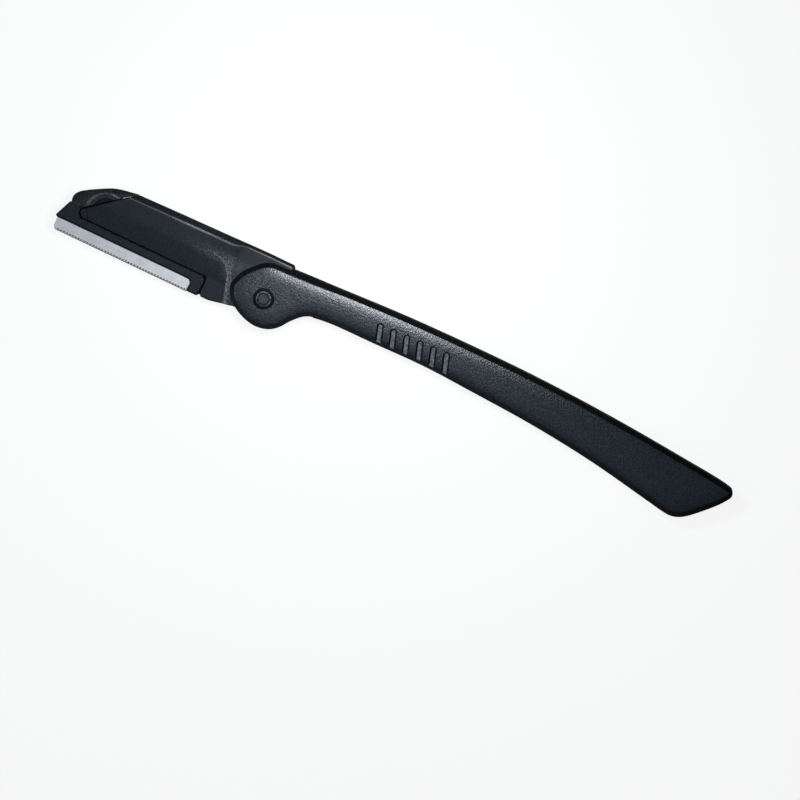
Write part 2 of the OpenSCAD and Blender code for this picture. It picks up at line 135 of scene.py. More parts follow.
# Carrier and steel
TIP_OVERHANG = 0.5
CARRIER_LOW = STEEL_H - BLADE_LINE
CARRIER_TOP = CARRIER_LOW + CARRIER_H
PLATE_LOW = CARRIER_TOP + SEAM
STEEL_X0 = TIP_OVERHANG - ARM_LEN
STEEL_X1 = STEEL_X0 + STEEL_LEN
BLOCK_X0 = STEEL_X1 + SEAT
BLOCK_X1 = BLOCK_X0 + BLOCK_W
BLOCK_LOW = 0.1 - BLADE_LINE
BLOCK_ROUND = 1.0
STEEL_ROUND = 0.9
TAB_INSET = 1.4
RAIL_T = 0.6
RAIL_H = 0.6
RAIL_LAP = 0.5
RAIL_NOSE = 0.9
RAIL_RISE = 0.15
HEEL_Y = BLADE_LINE - 0.3
HEEL_BEVEL = 0.35
NOTCH_X = BLOCK_X1 + SEAM
GUARD_T = BLADE_T + 2 * (GUARD_WALL + SEAT)
HUB_ROOM = math.hypot(CHEEK_LEN + RAMP_W, HEEL_Y) + SEAM
SLOT_END = ARM_LEN + 1.8

# Pegs and sockets that join the shells
PEG_SHARES = [(0.58, 0.58), (0.74, 0.46), (0.89, 0.18)]
PEG_R = 0.9
BOSS_WALL = 0.8
SOCKET_FLOOR = 0.8

# Fineness of smooth outlines, of rounded edges, of circles and of small circles
SPAN_STEPS = 10
ROUND_STEPS = 9
RIM_STEPS = 72
SMALL_STEPS = 32


# Outlines, in shares

# Handle: the cheek in shares of CHEEK_LEN, the rest in shares of TAIL_LEN and GRIP_H
CHEEK = [(-0.3, 0.975), (-0.665, 0.675), (-0.92, 0.325), (-1.005, -0.02), (-0.91, -0.3),
         (-0.67, -0.54), (-0.335, -0.72), (0.07, -0.81), (0.44, -0.745), (0.69, -0.58),
         (0.92, -0.28)]
LOWER_EDGE = [(0.091, 0.032), (0.127, 0.129), (0.235, 0.161), (0.343, 0.182), (0.451, 0.119),
              (0.587, 0.016), (0.722, -0.173), (0.856, -0.457)]
TAIL = [(0.8945, -0.537), (0.91, -0.535), (0.929, -0.443), (0.965, -0.037), (0.99, 0.32),
        (0.9995, 0.534), (0.9955, 0.667), (0.979, 0.729)]
SPINE = [(0.877, 0.857), (0.718, 1.012), (0.558, 1.104), (0.419, 1.118), (0.269, 1.087),
         (0.12, 0.999), (0.032, 0.945)]

# Arm, cap and tip block in shares of ARM_LEN towards the tip and of ARM_SPINE up. The heel,
# and the foot of the ramp, in shares of CHEEK_LEN along
ARM_TOP = [(0.08, 1.001), (0.249, 0.979), (0.497, 0.952), (0.69, 0.926)]
SLANT = [(0.698, 0.9215), (0.765, 0.661), (0.891, 0.107)]
NOSE = [(0.9045, 0.044), (0.9055, -0.034), (0.8875, 0)]
HEEL = [(1.375, 0), (1.06, 0.056), (0.7, 0.139)]
RAMP_FOOT = [(6.6, 0.258), (3.75, 0.28), (2.5, 0.296), (1.94, 0.285), (1.55, 0.226),
             (1.3, 0.086), (1.163, -0.086), (1.075, -0.323), (0.963, -0.753)]
LEDGE = [(0.855, -0.172), (0.888, 0.172)]
CAP = [(0.719, 0.913), (0.768, 0.871), (0.815, 0.805), (0.8795, 0.63), (0.9185, 0.509),
       (0.946, 0.406), (0.961, 0.306), (0.965, 0.207), (0.961, 0.108)]
CAP_CORNER = 0.9015
TIP_BLOCK = [(0.912, -0.059), (0.912, 0.049), (0.9035, 0.088), (0.968, 0.09), (1, -0.312),
             (0.999, -0.34), (0.993, -0.36)]

# Ramp's width at each point of its foot in shares of RAMP_W, the rise of the upper face
# towards the hub in shares of CHEEK_LEN, and the sections of both as shares along and up
RAMP_REACH = [(0, 1.6), (0, 1.6), (0, 1.67), (0.4, 1.63), (0.8, 1.3), (1, 0.73), (0.9, 0.27),
              (0.87, 0.17), (0.87, 0.07)]
RISE = (2.4, 1.06)
RAMP_SECTION = [(0, 0), (0.35, 0.12), (0.7, 0.45), (1.12, 1.22)]
RISE_SECTION = [(0, 0), (0.3, 0.1), (0.65, 0.5), (1.1, 1.2)]


# Curves and outlines

def blend(a, b, u):
    return a + (b - a) * u


def unit(u):
    return np.clip(u, 0, 1)


def eased(u):
    """From 0 to 1 with a soft start and a soft end."""
    u = unit(u)
    return u * u * (3 - 2 * u)


def sized(shares, along, up):
    return [np.array([along * x, up * y], float) for x, y in shares]


def span_point(a, b, c, d, u):
    """Point of a smooth curve between b and c, at u of the span."""
    t1 = math.sqrt(np.linalg.norm(b - a))
    t2 = t1 + math.sqrt(np.linalg.norm(c - b))
    t3 = t2 + math.sqrt(np.linalg.norm(d - c))
    t = blend(t1, t2, u)
    ab, bc, cd = blend(a, b, t / t1), blend(b, c, u), blend(c, d, (t - t2) / (t3 - t2))
    return blend(blend(ab, bc, t / t2), blend(bc, cd, (t - t1) / (t3 - t1)), u)


def smooth(points):
    """Smooth closed outline through the points."""
    n = len(points)
    return np.array([span_point(points[i - 1], points[i], points[(i + 1) % n],
                                points[(i + 2) % n], s / SPAN_STEPS)
                     for i in range(n) for s in range(SPAN_STEPS)])


def smooth_line(points, steps=SPAN_STEPS):
    """Smooth open line through the points."""
    p = [np.asarray(q, float) for q in points]
    q = [2 * p[0] - p[1]] + p + [2 * p[-1] - p[-2]]
    line = [span_point(q[i - 1], q[i], q[i + 1], q[i + 2], s / steps)
            for i in range(1, len(q) - 2) for s in range(steps)]
    return np.array(line + [p[-1]])


def arc(centre, radius, start, end, steps=8):
    """Points of an arc, with its angles in degrees."""
    angles = np.radians(np.linspace(start, end, steps + 1))
    return [np.array([centre[0] + radius * math.cos(a), centre[1] + radius * math.sin(a)])
            for a in angles]


def circle(centre, radius, steps=RIM_STEPS):
    return np.array(arc(centre, radius, 0, 360, steps)[:-1])


def outward(points):
    """Direction straight out of a closed outline at each point."""
    run = np.roll(points, -1, 0) - np.roll(points, 1, 0)
    return np.stack([run[:, 1], -run[:, 0]], 1) / np.linalg.norm(run, axis=1)[:, None]


def inset(points, amounts):
    """Outline moved inward at each point, with its corners kept true."""
    p = np.asarray(points, float)
    ahead = np.roll(p, -1, 0) - p
    ahead /= np.linalg.norm(ahead, axis=1)[:, None]
    out_next = np.stack([ahead[:, 1], -ahead[:, 0]], 1)
    out_last = np.roll(out_next, 1, 0)
    both = out_next + out_last
    mitre = both / np.maximum(1 + (out_next * out_last).sum(1), 0.4)[:, None]
    return p - mitre * np.broadcast_to(amounts, len(p))[:, None]


def bend_radii(p, limit):
    """Radius of an outline's bend at each point, no larger than the limit."""
    a, b = np.roll(p, 1, 0) - p, np.roll(p, -1, 0) - p
    twice_area = np.abs(a[:, 0] * b[:, 1] - a[:, 1] * b[:, 0])
    sides = (np.linalg.norm(a, axis=1) * np.linalg.norm(b, axis=1)
             * np.linalg.norm(b - a, axis=1))
    return sides / np.maximum(2 * twice_area, sides / limit)


def edge_distance(points, outline):
    """Distance of each point from a closed outline."""
    start = np.asarray(outline)
    leg = np.roll(start, -1, 0) - start
    span = (leg ** 2).sum(1)
    nearest = np.full(len(points), np.inf)
    for s, d, sq in zip(start, leg, span):
        u = unit(((points - s) @ d) / sq)
        nearest = np.minimum(nearest, np.linalg.norm(points - s - u[:, None] * d, axis=1))
    return nearest


# Meshes

def solid(name, points, faces):
    mesh = bpy.data.meshes.new(name)
    mesh.from_pydata([tuple(map(float, p)) for p in points], [], faces)
    mesh.update()
    piece = bpy.data.objects.new(name, mesh)
    bpy.context.scene.collection.objects.link(piece)
    return piece


def level(points, z):
    """Ring of an outline at one level."""
    p = np.asarray(points, float)
    return np.column_stack([p, np.full(len(p), z)])


def skin_faces(rings, first=0):
    n, m = len(rings[0]), len(rings)
    faces = [[first + i for i in reversed(range(n))],
             [first + (m - 1) * n + i for i in range(n)]]
    for k in range(m - 1):
        for i in range(n):
            a, b = first + k * n + i, first + k * n + (i + 1) % n
            faces.append([a, b, b + n, a + n])
    return faces


def skin(name, *stacks):
    """Closed solids over stacks of rings, each ring above the last."""
    points, faces = [], []
    for rings in stacks:
        faces += skin_faces(rings, len(points))
        points += [q for ring in rings for q in ring]
    return solid(name, points, faces)


def prism(outline, z0, z1):
    return [level(outline, z0), level(outline, z1)]


def box(x0, x1, y0, y1, z0, z1):
    return prism([(x0, y0), (x1, y0), (x1, y1), (x0, y1)], z0, z1)


def settle(piece, operation, tool):
    """Cuts the tool out of the piece, or joins it on, and uses the tool up."""
    change = piece.modifiers.new("change", "BOOLEAN")
    change.operation, change.solver, change.object = operation, "EXACT", tool
    graph = bpy.context.evaluated_depsgraph_get()
    mesh = bpy.data.meshes.new_from_object(piece.evaluated_get(graph))
    piece.modifiers.clear()
    spent, piece.data = piece.data, mesh
    bpy.data.meshes.remove(spent)
    bpy.data.objects.remove(tool)


def combine(piece, operation, *stacks):
    """Cuts stacks of rings out of the piece, or joins them on, one after another."""
    for rings in stacks:
        settle(piece, operation, skin("tool", rings))


def score(piece, low_z, xs, ys):
    """Splits the level faces above low_z along lines of constant x and constant y."""
    bm = bmesh.new()
    bm.from_mesh(piece.data)
    for axis, values in ((0, xs), (1, ys)):
        direction = Vector((axis == 0, axis == 1, 0))
        for value in values:
            faces = [f for f in bm.faces
                     if f.normal.z > 0.99 and f.calc_center_median().z > low_z
                     and min(v.co[axis] for v in f.verts) < value
                     < max(v.co[axis] for v in f.verts)]
            if not faces:
                continue
            parts = {e for f in faces for e in f.edges} | {v for f in faces for v in f.verts}
            bmesh.ops.bisect_plane(bm, geom=faces + list(parts), dist=1e-4,
                                   plane_co=direction * value, plane_no=direction)
    bm.to_mesh(piece.data)
    bm.free()


def points_of(piece):
    flat = np.empty(len(piece.data.vertices) * 3, np.float32)
    piece.data.vertices.foreach_get("co", flat)
    return flat.reshape(-1, 3).astype(float)


def move_points(piece, points):
    piece.data.vertices.foreach_set("co", points.astype(np.float32).ravel())
    piece.data.update()


def mark(piece, finish, wanted):
    """Gives faces another of the piece's finishes. The test gets a face's middle, in
    millimetres, and the way it faces."""
    for face in piece.data.polygons:
        if wanted(face.center / MM, face.normal):
            face.material_index = finish


def mark_deep(piece, finish, level_z):
    """Marks the upward faces below a level."""
    mark(piece, finish, lambda at, way: way.z > 0.5 and at.z < level_z)


def done(piece, node, body, finishes, crease=20):
    """Makes the piece metres, dresses it and puts it in the frame in place of its node."""
    bm = bmesh.new()
    bm.from_mesh(piece.data)
    bmesh.ops.remove_doubles(bm, verts=bm.verts, dist=1e-4)
    bmesh.ops.dissolve_degenerate(bm, edges=bm.edges, dist=1e-4)
    bmesh.ops.recalc_face_normals(bm, faces=bm.faces)
    bmesh.ops.scale(bm, vec=(MM, MM, MM), verts=bm.verts)
    bm.to_mesh(piece.data)
    bm.free()
    piece.data.polygons.foreach_set("use_smooth", [True] * len(piece.data.polygons))
    piece.data.set_sharp_from_angle(angle=math.radians(crease))
    for finish in finishes:
        piece.data.materials.append(finish)
    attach(piece, body)
    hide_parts(node)
    return piece


# Arm's corners that its neighbours follow, and the middle of the cap's nick

arm_top = sized(ARM_TOP, -ARM_LEN, ARM_SPINE)
slant = sized(SLANT, -ARM_LEN, ARM_SPINE)
nose = sized(NOSE, -ARM_LEN, ARM_SPINE)
slant_run = slant[2] - slant[1]
slant_out = np.array([slant_run[1], -slant_run[0]]) / np.linalg.norm(slant_run)
NICK_AT = (slant[1] + slant[2]) / 2 + (TIP_GAP + NICK_REACH - NICK_R) * slant_out


# Finishes

# Black plastics, the painted shade of their walls, the pale colour of grain and of painted
# highlights, and the painted shade along a steel edge
BLACK = np.array([0.006, 0.0095, 0.015])
DEEP_BLACK = BLACK * 0.7
WALL = np.array([0.0075, 0.008, 0.009])
GRAIN_AND_HIGHLIGHT_PALE = np.array([0.086, 0.091, 0.098])
EDGE_DARK = (0.02, 0.022, 0.025)

# The painted highlight that fans over the arm's ramp: the x where it starts and is full, and the
# x beside the cheek where it turns into a narrow strip
FAN_X = (-22.0, -12.0)
STRIP_X = (-11.7, -9.6)


class Value:
    """A socket of a material. Arithmetic on it adds the Math nodes."""

    def __init__(self, finish, socket):
        self.finish, self.socket = finish, socket

    def math(self, operation, *terms):
        node = self.finish.node("ShaderNodeMath", {"operation": operation},
                                dict(enumerate(terms)))
        return node[0]

    def __add__(self, other):
        return self.math("ADD", self, other)

    def __sub__(self, other):
        return self.math("SUBTRACT", self, other)

    def __rsub__(self, other):
        return self.math("SUBTRACT", other, self)

    def __mul__(self, other):
        return self.math("MULTIPLY", self, other)

    __radd__, __rmul__ = __add__, __mul__

    def __abs__(self):
        return self.math("ABSOLUTE", self)

    def __pow__(self, power):
        return self.math("POWER", self, power)

    def below(self, edge, softness):
        """1 below the edge and 0 above it, with a soft change between them."""
        return self.finish.ramp(self, edge + softness / 2, edge - softness / 2)

    def above(self, edge, softness):
        return self.finish.ramp(self, edge - softness / 2, edge + softness / 2)

    def between(self, low, high, softness):
        """1 between two edges, with soft changes at both."""
        return self.above(low, softness) * self.below(high, softness)


class Finish:
    """A material built from nodes, or the sky when it is told to use the worlds."""

    def __init__(self, name, kept_in=None):
        library = bpy.data.materials if kept_in is None else kept_in
        self.material = library.new(name)
        self.material.use_nodes = True
        self.tree = self.material.node_tree
        self.tree.nodes.clear()
        self.where = self.node("ShaderNodeTexCoord")["Object"]

    def node(self, kind, settings=None, inputs=None):
        """Adds a node, with its settings first and then its sockets' values or links."""
        node = self.tree.nodes.new(kind)
        for name, value in (settings or {}).items():
            setattr(node, name, value)
        for key, value in (inputs or {}).items():
            socket = node.inputs[key]
            if isinstance(value, Value):
                self.tree.links.new(value.socket, socket)
            else:
                socket.default_value = value
        return Outputs(self, node)

    def ramp(self, value, low, high):
        """0 at low and 1 at high, with a soft change between them."""
        node = self.node("ShaderNodeMapRange", {"interpolation_type": "SMOOTHSTEP"},
                         {"Value": value, "From Min": low, "From Max": high})
        return node["Result"]

    def mix(self, mask, first, second):
        """Blend of two colours."""
        node = self.node("ShaderNodeMix", {"data_type": "RGBA"},
                         {0: mask, 6: rgba(first), 7: rgba(second)})
        return node[2]

    def stretched(self, scale):
        """Place on the piece, with each direction scaled."""
        node = self.node("ShaderNodeVectorMath", {"operation": "MULTIPLY"},
                         {0: self.where, 1: scale})
        return node[0]

    def noise(self, size, detail=2.0, rough=0.5, where=None, contrast=1.0):
        """Cloudy value around 0.5, whose spots are about size millimetres across."""
        node = self.node("ShaderNodeTexNoise", None,
                         {"Vector": where or self.where, "Scale": 1 / (size * MM),
                          "Detail": detail, "Roughness": rough})
        return (node[0] - 0.5) * contrast + 0.5

    def coordinates(self):
        """x, y and z on the piece, in millimetres."""
        node = self.node("ShaderNodeSeparateXYZ", None, {0: self.where})
        return [node[i] * (1 / MM) for i in range(3)]

    def facing(self):
        """x, y and z of the direction that the surface faces."""
        out = self.node("ShaderNodeTexCoord")["Normal"]
        return self.node("ShaderNodeSeparateXYZ", None, {0: out})

    def slope(self):
        """0 on level faces and 1 on upright ones."""
        return 1 - abs(self.facing()[2])

    def bump(self, height, depth):
        """Relief of the height given, depth millimetres deep."""
        inputs = {"Height": height, "Distance": depth * MM}
        return self.node("ShaderNodeBump", None, inputs)["Normal"]

    def principled(self, **sockets):
        named = {name.replace("_", " "): value for name, value in sockets.items()}
        return self.node("ShaderNodeBsdfPrincipled", None, named)["BSDF"]

    def mixed(self, mask, first, second):
        """The first shader, and the second where the mask is 1."""
        return self.node("ShaderNodeMixShader", None, {0: mask, 1: first, 2: second})["Shader"]

    def shows(self, shader, output="ShaderNodeOutputMaterial"):
        """Wires the shader to the output."""
        self.node(output, None, {"Surface": shader})
        return self.material


class Outputs:
    """A node's outputs, by name or number."""

    def __init__(self, finish, node):
        self.finish, self.node = finish, node

    def __getitem__(self, key):
        return Value(self.finish, self.node.outputs[key])


def rgba(colour):
    return colour if isinstance(colour, Value) else (*colour, 1)


def tinted(f, mask, shade, dark, pale):
    """Colour that wanders between a darker and a paler shade."""
    return f.mix(f.ramp(mask, 0.0, 1.0), np.array(shade) * dark, np.array(shade) * pale)


def moulded_plastic(name, shade, grain_mm, grain_depth, roughness, gloss=0.5, grain_and_highlight=None,
                    wall_shade=0.7, sparkle=0.06):
    """Moulded plastic: spark-eroded grain on its faces, pale grain and painted highlights where
    the mask shows them, and steep walls in a matt copy without reflection whose colour is
    painted shade, painted paler where they face the handle's lower side."""
    f = Finish(name)
    grain = f.noise(grain_mm, detail=3, rough=0.65)
    patches = f.noise(9, detail=3)
    specks = f.noise(grain_mm * 0.9, detail=1, contrast=2.5)
    colour = tinted(f, patches * 0.3 + specks * 0.7, shade, 0.6, 1.6)
    # Painted shade: steep faces switch to a matt copy of the plastic without reflection
    walls = f.ramp(f.slope(), 0.03, 0.09)
    # Pale grain and painted highlights where the mask shows them
    if grain_and_highlight:
        mask = grain_and_highlight(f)
        colour = f.mix(mask, colour, tinted(f, specks, GRAIN_AND_HIGHLIGHT_PALE, 0.4, 2.2))
        walls = walls * (1 - mask)
    upright = f.ramp(f.slope(), 0.88, 1.0)
    lower = f.ramp(f.facing()[1], 0.0, -0.4)
    relief = f.bump(grain, grain_depth)
    face = f.principled(Base_Color=colour, Roughness=roughness + (specks - 0.5) * sparkle,
                        Specular_IOR_Level=gloss, Normal=relief)
    # Painted shade on the walls, painted paler where they face the handle's lower side
    dull = f.mix(lower * 0.08, tinted(f, specks, WALL, wall_shade * 0.6, wall_shade * 1.4),
                 GRAIN_AND_HIGHLIGHT_PALE)
    wall = f.principled(Base_Color=dull, Roughness=0.9, Specular_IOR_Level=0.0)
    return f.shows(f.mixed(walls * (1 - upright * 0.08), face, wall))


def ramp_fan_highlight(f):
    """Painted highlight where the arm's ramp fans out of the hollow, brightest in a narrow strip
    beside the cheek."""
    x, y, z = f.coordinates()
    leaning = f.ramp(f.slope(), 0.025, 0.1) * f.slope().below(0.45, 0.2)
    raised = z.above(HOLLOW_Z + 0.3, 0.6)
    near_hub = f.ramp(x, *FAN_X) * z.below(HUB_Z - 0.02, 0.16)
    low = y.below(0.56 * ARM_SPINE, 3.0) * y.above(0.35 - HEEL_Y, 0.5)
    beside_cheek = f.ramp(x, *STRIP_X)
    strip = 0.6 + y.above(-2.0, 1.5) * 0.6
    fan = y.above(3.3, 1.8) * 0.55 + 0.12
    bright = beside_cheek * strip + (1 - beside_cheek) * fan
    return (leaning * 1.3 + raised * 0.4) * near_hub * low * bright


def nick_distance(x, y):
    """Distance from the middle of the cap's nick."""
    return ((x - NICK_AT[0]) ** 2 + (y - NICK_AT[1]) ** 2) ** 0.5


def cap_crescent_highlight(f):
    """Painted highlight in a pale crescent round the cap's nick."""
    x, y, z = f.coordinates()
    away = nick_distance(x, y)
    return (away.between(NICK_R + 0.05, NICK_R + 0.7, 0.3) * f.slope().below(0.3, 0.2)
            * y.above(1.9, 1.0) * 0.52)


def groove_grain(f):
    """Coarse pale grain on the floors of the grip grooves."""
    return f.ramp(f.noise(0.5, detail=1, contrast=2.6), 0.0, 1.0) * 0.7


def nick_step_highlights(f):
    """Painted highlights in fine pale arcs on the steps of the nick."""
    x, y, z = f.coordinates()
    away = nick_distance(x, y)
    return (away.between(NICK_R - 0.56, NICK_R - 0.42, 0.1)
            + away.between(NICK_R - 0.2, NICK_R - 0.08, 0.1)) * 0.4


def carrier_edge_highlight(f):
    """Painted highlight on the carrier's edge along the seam."""
    x, y, z = f.coordinates()
    return f.ramp(f.slope(), 0.01, 0.04) * y.above(CARRIER_TOP - 0.25, 0.1) * 0.3


def pin_finish(name, shade):
    """Pin: a pale ring of painted highlight, painted shade in the turned groove inside it and
    round the ring's outer edge, and a grained disc.
    """
    f = Finish(name)
    x, y, z = f.coordinates()
    radius = (x * x + y * y) ** 0.5
    grain = f.noise(0.3, detail=3)
    specks = f.noise(0.5, detail=1, contrast=2.5)
    ring = radius.between(PIN_RING, PIN_RING + PIN_RING_W, 0.1)
    dark = (radius.between(PIN_RING - PIN_GROOVE_W, PIN_RING, 0.08)
            + radius.above(PIN_RING + PIN_RING_W, 0.1))
    colour = f.mix(ring, tinted(f, specks, shade, 0.4, 2.4), tinted(f, specks, GRAIN_AND_HIGHLIGHT_PALE, 0.2, 1.5))
    bright = f.principled(Base_Color=colour, Roughness=0.45 + (specks - 0.5) * 0.15,
                          Specular_IOR_Level=0.4, Normal=f.bump(grain, 0.05))
    dull = f.principled(Base_Color=rgba(WALL), Roughness=0.9, Specular_IOR_Level=0.0)
    return f.shows(f.mixed(dark.math("MINIMUM", dark, 0.9), bright, dull))


def steel_finish(name, shade, roughness, edge_shade, edge_y, edge_soft):
    """Satin steel: rolling marks along the strip, and painted shade in a darker line along its
    low edge.
    """
    f = Finish(name)
    x, y, z = f.coordinates()
    rolled = f.noise(1, detail=4, rough=0.6, where=f.stretched((0.35, 6, 6)))
    clouds = f.noise(2.2, detail=2)
    clean = tinted(f, clouds * 0.7 + rolled * 0.3, shade, 0.9, 1.06)
    colour = f.mix(y.below(edge_y, edge_soft), clean, edge_shade)
    return f.shows(f.principled(
        Base_Color=colour, Metallic=1.0, Normal=f.bump(rolled, 0.006),
        Roughness=roughness + (clouds - 0.5) * 0.1 + (rolled - 0.5) * 0.08))


handle_plastic = moulded_plastic("handle_plastic_grained", BLACK, 0.45, 0.07, 0.29,
                                 sparkle=0.16)
groove_plastic = moulded_plastic("handle_plastic_groove", BLACK * 2, 0.5, 0.1, 0.5,
                                 grain_and_highlight=groove_grain)
arm_plastic = moulded_plastic("arm_plastic_satin", DEEP_BLACK, 0.4, 0.015, 0.36, gloss=0.27,
                              grain_and_highlight=ramp_fan_highlight, wall_shade=1.8)
# Painted highlight, with a real higher gloss: a paler plastic for the fine bevel along the arm's
# spine
edge_plastic = moulded_plastic("arm_plastic_edge", GRAIN_AND_HIGHLIGHT_PALE * 0.35, 0.4, 0.01, 0.33, gloss=1.0)
carrier_plastic = moulded_plastic("carrier_plastic_satin", DEEP_BLACK, 0.4, 0.03, 0.36,
                                  gloss=0.25, grain_and_highlight=carrier_edge_highlight, wall_shade=1.0)
cap_plastic = moulded_plastic("cap_plastic_satin", WALL * 0.8, 0.4, 0.03, 0.36, gloss=0.3,
                              grain_and_highlight=cap_crescent_highlight, wall_shade=2.2)
# Painted shade: near-black plastic in the seams and behind the slanted gap
seam_shade_plastic = moulded_plastic("seam_plastic_painted_shade", BLACK * 0.2, 0.4, 0.02, 0.9, gloss=0.0)
# Painted shade: a darker plastic on the recessed ledge near the tip
ledge_shade_plastic = moulded_plastic("arm_plastic_recess_shade", BLACK * 0.5, 0.4, 0.08, 0.6, gloss=0.2)
# Painted shade: a darker matt plastic inside the nick
nick_shade_plastic = moulded_plastic("cap_plastic_nick_shade", BLACK * 0.5, 0.4, 0.06, 0.6, gloss=0.1,
                               grain_and_highlight=nick_step_highlights)
pin_plastic = pin_finish("pin_plastic_turned", BLACK)
# Painted shade: the guard darker along its low edge, near-black steel in the comb's gaps, and
# the blade darker near its edge
guard_steel = steel_finish("guard_steel_satin", (0.66, 0.64, 0.665), 0.42,
                           (0.03, 0.033, 0.036), 0.1 - BLADE_LINE, 0.1)
comb_shade_steel = steel_finish("guard_steel_comb_shade", EDGE_DARK, 0.6, EDGE_DARK, -BLADE_LINE, 0.1)
blade_steel = steel_finish("blade_steel_ground", (0.6, 0.62, 0.65), 0.25, EDGE_DARK,
                           0.9 - BLADE_LINE, 0.2)


# Handle

# How far down the rounded edge is steered while it is still at its full inset, the largest
# inset in shares of the outline's bend, and the bevel at the parting line
EDGE_STEER = 0.75
BEND_SHARE = 0.6
PARTING_BEVEL = 0.08

# How the front face falls away towards its edge, and the lines that it is split along for that
CROWN_DROP = 0.24
CROWN_W = 3.0
CROWN_FOOT = HANDLE_T - CHEEK_WALL + 0.02
CROWN_STEP_X = 1.3
CROWN_STEP_Y = 0.5

# Section of a grip groove: what its half width gains, and the depth
GROOVE_SECTION = [(-0.14, GROOVE_DEPTH), (-0.09, 0.26), (0.19, 0.04), (0.25, 0),
                  (0.45, -OVERRUN)]

handle_outline = smooth(sized(CHEEK, CHEEK_LEN, CHEEK_LEN) + sized(LOWER_EDGE, TAIL_LEN, GRIP_H)
                        + sized(TAIL, TAIL_LEN, GRIP_H) + sized(SPINE, TAIL_LEN, GRIP_H))
turned_down = unit(0.5 - outward(handle_outline)[:, 1])
along_grip = unit((handle_outline[:, 0] - CHEEK_LEN) / CHEEK_LEN)
edge_insets = np.minimum(
    blend(CHEEK_ROUND, blend(SPINE_ROUND, LOWER_ROUND, turned_down), along_grip),
    BEND_SHARE * bend_radii(handle_outline, TAIL_LEN))


def shell_rings(face_z, parting_z):
    """Rings of a shell from its face to the parting line."""
    away = 1 if face_z > parting_z else -1
    rings = []
    for s in range(ROUND_STEPS + 1):
        u = s / ROUND_STEPS
        depth = ROUND_DEPTH * (2 * u * (1 - u) * EDGE_STEER + u * u)
        rings.append(level(inset(handle_outline, edge_insets * (1 - u) ** 2),
                           face_z - away * depth))
    rings.append(level(handle_outline, parting_z + away * PARTING_BEVEL))
    rings.append(level(inset(handle_outline, PARTING_BEVEL), parting_z))
    return rings if away < 0 else rings[::-1]


def inside_rings(z0, z1):
    """Stacks of the space between the shells: the slot, its open front and the closed tail."""
    rim = inset(handle_outline, RIM_W)
    rim = rim[(rim[:, 0] > 0) & (rim[:, 0] < 0.95 * TAIL_LEN)]
    far = -2 * CHEEK_LEN
    return [prism(rim, z0, z1), box(far, SLOT_END, far, GRIP_H / 2, z0, z1),
            box(far, STOP_X + STOP_GAP, far, 3 * CHEEK_LEN, z0, z1)]


def groove_rings(face_z, away):
    """Tapered stacks of the slanted grip grooves, cut from a face towards its outside."""
    stacks = []
    turn = np.array([[math.cos(GROOVE_LEAN), -math.sin(GROOVE_LEAN)],
                     [math.sin(GROOVE_LEAN), math.cos(GROOVE_LEAN)]])
    for k in range(GROOVE_COUNT):
        top = np.array([GROOVE_X + k * GROOVE_PITCH,
                        GROOVE_TOP + k * GROOVE_CLIMB - GROOVE_W / 2])
        rings = []
        for gain, depth in GROOVE_SECTION:
            half = GROOVE_W / 2 + gain
            plan = [(half, -GRIP_H), *arc((0, 0), half, 0, 180, 14), (-half, -GRIP_H)]
            rings.append(level(np.array(plan) @ turn.T + top, face_z - away * depth))
        stacks.append(rings if away > 0 else rings[::-1])
    return stacks


def crown(piece):
    """Lets the front face fall away softly towards its edges."""
    top = HANDLE_T - 1e-3
    grid_x = np.arange(-CHEEK_LEN, TAIL_LEN, CROWN_STEP_X)
    grid_y = np.arange(-CHEEK_LEN, 2 * GRIP_H, CROWN_STEP_Y)
    score(piece, top, grid_x, grid_y)
    p = points_of(piece)
    face_edge = inset(handle_outline, edge_insets)
    d = np.where(p[:, 2] < top, 0, edge_distance(p[:, :2], face_edge))
    drop = CROWN_DROP * (1 - unit(d / CROWN_W)) ** 3
    p[:, 2] -= drop * unit((p[:, 2] - CROWN_FOOT) / (HANDLE_T - CROWN_FOOT))
    move_points(piece, p)


def shape_room(room):
    """Keeps of the hub's room only what lies in the space between the shells."""
    slot, *openings = inside_rings(SLOT_Z1 - 2 * OVERRUN, HANDLE_T - CHEEK_WALL + OVERRUN)
    space = skin("space", slot)
    combine(space, "UNION", *openings)
    settle(room, "INTERSECT", space)


def mark_grooves(piece, face_z):
    """Marks the level floors of the grip grooves that lie below a face."""
    lean_x, lean_y = math.cos(GROOVE_LEAN), math.sin(GROOVE_LEAN)

    def on_floor(at, way):
        if not 0.1 < abs(at.z - face_z) < 2 * GROOVE_DEPTH or abs(way.z) < 0.9:
            return False
        for k in range(GROOVE_COUNT):
            x = at.x - GROOVE_X - k * GROOVE_PITCH
            y = at.y - GROOVE_TOP - k * GROOVE_CLIMB + GROOVE_W / 2
            across, up = x * lean_x + y * lean_y, y * lean_x - x * lean_y
            if abs(across) < GROOVE_W / 2 and up < GROOVE_W / 2:
                return True
        return False

    mark(piece, 1, on_floor)


